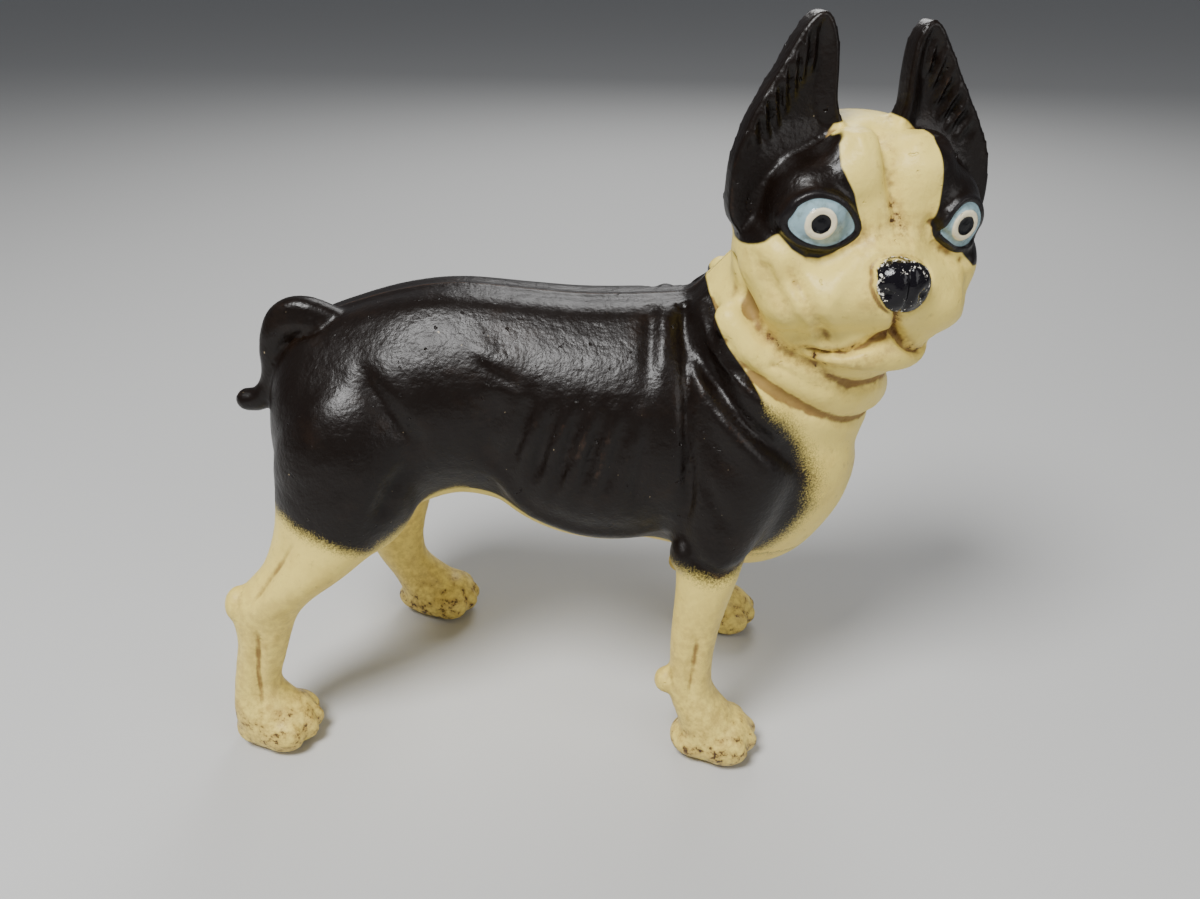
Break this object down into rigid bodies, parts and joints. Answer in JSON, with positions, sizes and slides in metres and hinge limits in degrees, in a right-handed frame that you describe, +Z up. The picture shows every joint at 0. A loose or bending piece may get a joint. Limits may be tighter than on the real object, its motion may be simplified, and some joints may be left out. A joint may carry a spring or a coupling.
{
  "type": "still bank",
  "caption": "Hollow cast figure of a standing terrier, parted lengthwise into two halves held by a screw, with a coin slot through the back of the head.",
  "frame": {"origin": "on the floor, under the middle of the figure, on the plane where the two castings meet", "axes": "+X towards the chest, +Y towards the dog's left side, +Z up"},
  "size_m": [0.2464, 0.1056, 0.246],
  "materials": {
    "right_casting": "dark brown-black and cream enamel over cast iron, aged",
    "left_casting": "dark brown-black and cream enamel over cast iron, aged",
    "washer_steel": "dull, lightly rusted",
    "screw_steel": "dull, lightly rusted"
  },
  "bodies": {
    "right_casting": {"right_half": "right_casting"},
    "left_casting": {"left_half": "left_casting"},
    "washer": {"screw_washer": "washer_steel"},
    "screw": {"clamp_screw": "screw_steel"}
  },
  "joints": [
    {"name": "half_off", "type": "slide", "parent": "right_casting", "child": "left_casting", "axis": [0, 1, 0], "range_m": [0, 0.08]},
    {"name": "screw_out", "type": "slide", "parent": "left_casting", "child": "washer", "axis": [0, 1, 0], "range_m": [0, 0.01587]},
    {"name": "screw_turn", "type": "hinge", "parent": "washer", "child": "screw", "pos_m": [-0.025, 0, 0.127], "axis": [0, 1, 0], "range_deg": [0, 4500]}
  ],
  "couplings": [
    {"joint": "screw_turn", "follows": "screw_out", "rad_per_m": 4947.4}
  ]
}
